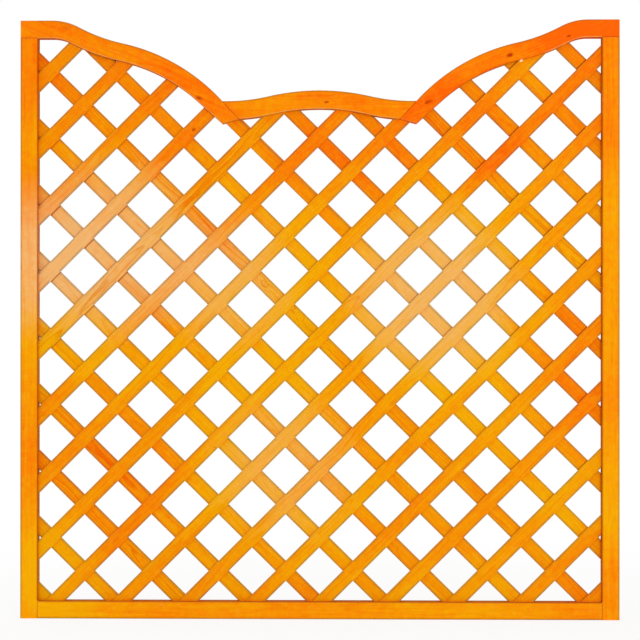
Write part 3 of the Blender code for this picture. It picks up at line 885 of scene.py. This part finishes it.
def pine(board):
    """Stained pine for one board."""
    made, graph, shader = new_material(board.name + "_pine")
    dice = random.Random(board.seed)
    here = graph.here()

    # The board's own frame
    cos, sin = math.cos(board.slope), math.sin(board.slope)
    x, y, z = board.centre
    shift = (own_start(board.seed) - x * cos - z * sin, -y, x * sin - z * cos)
    own = graph.turn(here, board.slope, shift)
    depth = dice.choice((-1, 1)) * dice.uniform(*PITH_DEPTH)
    pith = (0.0, depth, dice.uniform(-PITH_ASIDE, PITH_ASIDE) * board.half_face)
    ring = dice.uniform(*YEAR_WIDTH)
    push, heart, rim = knot_marks(graph, board, here)
    grain = graph.group(PINE_FIGURE, Board=own, Pith=pith, Ring=ring, Push=push)
    places = graph.group(STAIN_PLACES)

    # Tone: the panel's broad tones, the piece's own lean, and slow changes along it
    tone = graph.math("ADD", places["Tone"], board.lean)
    tone = graph.math("ADD", tone, graph.swing(graph.noise(own, BOARD_SCALE), BOARD_SWING, 0.25))
    tone = graph.math("ADD", tone, graph.swing(grain["Streak"], STREAK_SWING))
    late = graph.times(grain["Late"], board.figure)
    tone = graph.math("SUBTRACT", tone, graph.times(late, LATE_RED))
    stain = graph.ramp(tone, ((0.0, RED_STAIN), (0.5, ORANGE_STAIN), (1.0, AMBER_STAIN)))

    # Thin stain shows the pale wood, more so between the rings
    thin = graph.remap(grain["Streak"], 0.3, 0.7, *THIN_STREAKS, "LINEAR")
    thin = graph.times(places["Thin"], thin)
    thin = graph.math("SUBTRACT", thin, graph.times(late, LATE_HOLD), clamp=True)
    stain = graph.mix(thin, stain, THIN_STAIN)

    # Rings, fibres and knots darken it
    fibre = graph.remap(grain["Fibre"], 0.35, 0.75, *FIBRE_SHADE, "LINEAR")
    # Painted shade on the slats, which lie deeper in the frame than its boards
    fibre = graph.math("ADD", fibre, SLAT_DEPTH_SHADE if board.crossings else 0.0)
    shade = graph.math("ADD", graph.times(late, LATE_SHADE), fibre, clamp=True)
    stain = graph.mix(shade, stain, DARK_STAIN_AND_SHADE)
    stain = graph.mix(heart, stain, KNOT_HEART)
    stain = graph.mix(graph.times(rim, RIM_SHADE), stain, KNOT_RIM)

    # Edges, told apart by the way the surface faces
    facing = graph.add("ShaderNodeNewGeometry").outputs["Normal"]
    flatness = graph.math("ABSOLUTE", graph.dot(facing, (0.0, 1.0, 0.0)))
    side = graph.remap(flatness, *SIDE_FLATNESS, 1.0, 0.0)
    rising = graph.remap(flatness, *ARRIS_RISE)
    arris = graph.times(rising, graph.remap(flatness, *ARRIS_FALL, 1.0, 0.0))
    broken = graph.remap(graph.noise(own, BROKEN_SCALE), 0.3, 0.6, BROKEN_LEFT, 1.0)
    skin = Skin(graph, here, own, facing, side, arris, broken)
    edges = slat_edges if board.crossings else frame_edges
    stain = edges(board, skin, stain)

    for x, z, radius in board.chips:
        away = graph.oval(here, x, z, CHIP_SLOPE)
        bare = graph.remap(away, CHIP_FULL * radius, radius, CHIP_SHOWS, 0.0)
        stain = graph.mix(bare, stain, BARE_CHIP)

    # Sawn ends drink more stain
    sawn = graph.math("ABSOLUTE", graph.dot(facing, (cos, 0.0, sin)))
    sawn = graph.remap(sawn, *SAWN_FACING, 0.0, SAWN_END_SHADE)
    stain = graph.mix(sawn, stain, DARK_STAIN_AND_SHADE)
    graph.feed(shader.inputs["Base Color"], stain)

    rough = graph.math("ADD", PLANED_ROUGH, graph.times(grain["Fibre"], FIBRE_ROUGH))
    rough = graph.math("ADD", rough, graph.times(thin, THIN_ROUGH))
    rough = graph.math("ADD", rough, graph.times(side, SIDE_ROUGH), clamp=True)
    graph.feed(shader.inputs["Roughness"], rough)
    shader.inputs["Specular Tint"].default_value = STAIN_SHEEN
    shader.inputs["Specular IOR Level"].default_value = STAIN_SPECULAR
    height = graph.math("ADD", grain["Fibre"], graph.times(late, LATE_RELIEF))
    height = graph.math("SUBTRACT", height, graph.times(rim, RIM_RELIEF))
    graph.bump(shader, height, PINE_RELIEF, PINE_HEIGHT)
    return made


def zinc(name, tint, roughness):
    """Zinc plate: spangled tone, fine relief and a duller film in patches."""
    made, graph, shader = new_material(name)
    here = graph.here()
    spangle = graph.noise(here, SPANGLE_SCALE, detail=3.0)
    film = graph.remap(graph.noise(here, FILM_SCALE), 0.35, 0.7)
    light = tuple(channel * ZINC_BRIGHT for channel in tint[:3]) + (1.0,)
    dull = tuple(channel * ZINC_DULL for channel in tint[:3]) + (1.0,)
    shade = graph.mix(graph.remap(spangle, 0.3, 0.7), tint, light)
    shade = graph.mix(graph.times(film, FILM_SHARE), shade, dull)
    graph.feed(shader.inputs["Base Color"], shade)
    shader.inputs["Metallic"].default_value = 1.0
    rough = graph.math("ADD", roughness, graph.times(film, FILM_ROUGH))
    graph.feed(shader.inputs["Roughness"], rough)
    graph.bump(shader, spangle, ZINC_RELIEF, ZINC_HEIGHT)
    return made


def dress(node, finish):
    """Put a finish in every slot of a CAD node."""
    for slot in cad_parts[node].material_slots:
        slot.material = finish


def frame_board(name, slope, centre, half_face, **looks):
    return Board(name, slope, centre, half_face, BOARD_SEEDS[name], **looks)


def stiles():
    for side, name, looks in (
        (-1, "stile_left", {"lean": 0.06, "inside_shade": 0.95}),
        (1, "stile_right", {"lean": 0.22, "pale": 0.1}),
    ):
        looks.update(inward=(-side, 0.0), open_along=("Z", RAIL_TOP, STILE_TOP))
        centre = (side * STILE_MIDDLE, 0.0, PANEL_HEIGHT / 2)
        yield frame_board(name, math.pi / 2, centre, BOARD_FACE / 2, **looks)


def bottom_rail():
    centre = (0.0, 0.0, BOARD_FACE / 2)
    looks = {"lean": 0.14, "inward": (0.0, 1.0), "pale": 0.25, "inside_shade": 0.9}
    looks["open_along"] = ("X", -OPENING_HALF, OPENING_HALF)
    return frame_board("bottom_rail", 0.0, centre, BOARD_FACE / 2, **looks)


def top_boards():
    """The two arch boards and the crown, whose opening edges run along curves."""
    slope = math.radians(22.0)
    arch_middle, arch_height, arch_half = 0.6, 1.70, 0.05
    crown_height, crown_half = 1.55, 0.04
    arch_end, crown_end = 0.295, 0.24
    curved = {"figure": 0.4, "inward": (0.0, -1.0), "curved": True}

    left = {"lean": 0.06, "pale": 0.6, "edge_left": 0.25, **curved}
    left["open_along"] = ("X", -OPENING_HALF, -arch_end)
    centre = (-arch_middle, 0.0, arch_height)
    yield frame_board("arch_board_left", -slope, centre, arch_half, **left)

    right = {"lean": -0.24, "pale": 0.7, "pale_from": 0.66, "inside_shade": 0.3, "edge_left": 0.25}
    right.update(curved, chips=RIGHT_CHIPS, open_along=("X", arch_end, OPENING_HALF))
    centre = (arch_middle, 0.0, arch_height)
    yield frame_board("arch_board_right", slope, centre, arch_half, **right)

    crown = {"lean": 0.02, "pale": 0.6, "open_along": ("X", -crown_end, crown_end), **curved}
    yield frame_board("crown_board", 0.0, (0.0, 0.0, crown_height), crown_half, **crown)


def slats(layer, other):
    """The slats of one layer, crossed by those of the other."""
    dice = random.Random(LAYER_SEEDS[layer])
    for number, (name, line) in enumerate(SLAT_LINES[layer].items(), start=1):
        grown = min(max((number - LINE_FIRST_SLAT) / LINE_SLATS, 0.0), 1.0) ** LINE_GROWTH
        contact_shade = (min(grown + dice.uniform(*LINE_ABOVE), 1.0), dice.uniform(*LINE_BELOW))
        yield Board(
            name=name,
            slope=line.slope,
            centre=tuple(line.centre),
            half_face=SLAT_WIDTH / 2,
            seed=LAYER_SEEDS[layer] + number,
            lean=OWN_LEANS.get(name, random.Random(name).gauss(*SLAT_LEAN)),
            figure=LIVELY_FIGURE if name in LIVELY_SLATS else SLAT_FIGURE,
            chips=RIGHT_CHIPS if name == "front_slat_10" else (),
            crossings=tuple(line.reach(crossed) for crossed in SLAT_LINES[other].values()),
            contact_shade=contact_shade if layer == "rear" else (),
        )


def dowels():
    height, radius, lean = 1.55, 0.004, 0.3
    for name, x in (("dowel_left", -0.25), ("dowel_right", 0.25)):
        yield Board(name, 0.0, (x, 0.0, height), radius, DOWEL_SEED, lean)


def dress_wood():
    boards = [*stiles(), bottom_rail(), *top_boards()]
    boards += [*slats("front", "rear"), *slats("rear", "front"), *dowels()]
    for board in boards:
        dress(board.name, pine(board))


def dress_metal():
    plate = zinc("zinc_plate", *SCREW_ZINC)
    for name in ("bottom_screw_left", "bottom_screw_right", "top_screw_left", "top_screw_right"):
        dress(name, plate)
    staples(zinc("staple_wire", *WIRE_ZINC))


def crossings():
    """The places in the opening where a front and a rear slat cross."""
    names = (*FRAME_BOARDS, *SLAT_LINES["front"], *SLAT_LINES["rear"])
    solids = {name: solid_tree(name) for name in names}

    def behind(name, spot):
        """Whether a solid covers a spot, seen from the back."""
        start = spot + Vector((0.0, RAY_START, 0.0))
        return solids[name].ray_cast(start, Vector((0.0, -1.0, 0.0)))[0] is not None

    ways = [Vector((x, 0.0, z)) for x, z in ((-1, 0), (1, 0), (0, -1), (0, 1))]
    for front_name, front in SLAT_LINES["front"].items():
        for rear_name, rear in SLAT_LINES["rear"].items():
            spot = front.centre + front.reach(rear) * front.along()
            around = [spot + STAPLE_ROOM * way for way in ways]
            crossed = (front_name, rear_name)
            if all(behind(name, place) for name in crossed for place in around):
                if not any(behind(name, place) for name in FRAME_BOARDS for place in around):
                    yield spot


def staple(shape, spot, tilt, proud):
    """One staple driven from behind: a flat wire crown with rounded shoulders into its legs."""
    half = STAPLE_CROWN / 2
    path = [(-half, -STAPLE_SUNK), (-half, -STAPLE_BEND)]
    for turn in STAPLE_BEND_TURNS:
        left, down = 1 - math.cos(math.radians(turn)), 1 - math.sin(math.radians(turn))
        path.append((-half + STAPLE_BEND * left, -STAPLE_BEND * down))
    path += [(-x, y) for x, y in reversed(path)]
    turned = Matrix.Rotation(tilt, 3, "Y")
    rings = []
    for place, (along, up) in enumerate(path):
        before, after = path[max(place - 1, 0)], path[min(place + 1, len(path) - 1)]
        way = Vector((after[0] - before[0], after[1] - before[1])).normalized()
        out = Vector((-way.y, way.x))
        ring = []
        for corner in range(STAPLE_CORNERS):
            angle = math.tau * (corner + 0.5) / STAPLE_CORNERS
            thick = math.cos(angle) * STAPLE_THICKNESS / 2
            wide = math.sin(angle) * STAPLE_WIRE / 2
            point = turned @ Vector((along + out.x * thick, up + out.y * thick, wide))
            ring.append(shape.verts.new(Vector(spot) + point + Vector((0.0, proud, 0.0))))
        rings.append(ring)
    for near, far in zip(rings, rings[1:]):
        for corner in range(STAPLE_CORNERS):
            shape.faces.new((near[corner], near[corner - 1], far[corner - 1], far[corner]))
    shape.faces.new(rings[0])
    shape.faces.new(reversed(rings[-1]))


def staples(finish):
    """Wire staples through every crossing, their crowns on the back of the rear slats."""
    dice = random.Random(STAPLE_SEED)
    shape = bmesh.new()
    for spot in crossings():
        x = spot.x + dice.uniform(-1, 1) * STAPLE_STRAY
        z = spot.z + dice.uniform(-1, 1) * STAPLE_STRAY
        tilt = dice.uniform(-1, 1) * STAPLE_TILT
        proud = dice.uniform(-STAPLE_PROUD, STAPLE_PROUD)
        staple(shape, (x, SLAT_BACK, z), tilt, proud)
    bmesh.ops.recalc_face_normals(shape, faces=shape.faces)
    mesh = bpy.data.meshes.new("crossing_staples")
    shape.to_mesh(mesh)
    shape.free()
    for face in mesh.polygons:
        face.use_smooth = True
    made = new_object("crossing_staples", mesh)
    mesh.materials.append(finish)
    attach(made, "root")


def camera():
    made = new_object("camera", bpy.data.cameras.new("camera"))
    level = Matrix(((1, 0, 0), (0, 0, -1), (0, 1, 0)))
    turn = (
        Matrix.Rotation(CAMERA_YAW, 3, "Z")
        @ Matrix.Rotation(CAMERA_PITCH, 3, "X")
        @ Matrix.Rotation(CAMERA_ROLL, 3, "Y")
    )
    made.matrix_world = Matrix.Translation(CAMERA_SPOT) @ (turn @ level).to_4x4()
    made.data.sensor_width = CAMERA_SENSOR
    made.data.lens = CAMERA_LENS
    made.data.clip_end = CAMERA_REACH
    bpy.context.scene.camera = made


def area_light(name, spot, size, power):
    lamp = bpy.data.lights.new(name, "AREA")
    lamp.shape = "DISK"
    lamp.size = size
    lamp.energy = power
    made = new_object(name, lamp)
    made.location = spot
    made.rotation_euler = (Vector(LIT_SPOT) - Vector(spot)).to_track_quat("-Z", "Y").to_euler()


def surround():
    """A white world: plain white to the camera and in reflections, softer as a light."""
    world = bpy.data.worlds.new("surround")
    bpy.context.scene.world = world
    world.use_nodes = True
    graph = Graph(world.node_tree)
    back = world.node_tree.nodes["Background"]
    back.inputs["Color"].default_value = (1.0, 1.0, 1.0, 1.0)
    strength = graph.remap(graph.seen(), 0.0, 1.0, SURROUND, 1.0, "LINEAR")
    graph.feed(back.inputs["Strength"], strength)


def floor():
    """A white floor that is nearly white by itself, so that only the shadow on it shows."""
    mesh = bpy.data.meshes.new("floor")
    shape = bmesh.new()
    bmesh.ops.create_grid(shape, x_segments=FLOOR_CELLS, y_segments=FLOOR_CELLS, size=FLOOR_HALF)
    shape.to_mesh(mesh)
    shape.free()
    made = new_object("floor", mesh)
    coat, graph, _ = new_material("floor_white")
    graph.tree.nodes.clear()
    matt = graph.add("ShaderNodeBsdfDiffuse")
    matt.inputs["Color"].default_value = (FLOOR_WHITE, FLOOR_WHITE, FLOOR_WHITE, 1.0)
    glow = graph.add("ShaderNodeEmission")
    away = graph.vector("LENGTH", graph.here())
    share = graph.times(graph.seen(), graph.remap(away, GLOW_NEAR, GLOW_FAR, FLOOR_GLOW, 1.0))
    both = graph.add("ShaderNodeMixShader")
    for socket, value in zip(both.inputs, (share, matt.outputs[0], glow.outputs[0])):
        graph.feed(socket, value)
    graph.feed(graph.add("ShaderNodeOutputMaterial").inputs["Surface"], both.outputs[0])
    mesh.materials.append(coat)


camera()
surround()
floor()
area_light("key", KEY_SPOT, KEY_SIZE, KEY_POWER)
area_light("back", BACK_SPOT, BACK_SIZE, BACK_POWER)
dress_wood()
dress_metal()
bpy.context.scene.view_settings.view_transform = "Standard"
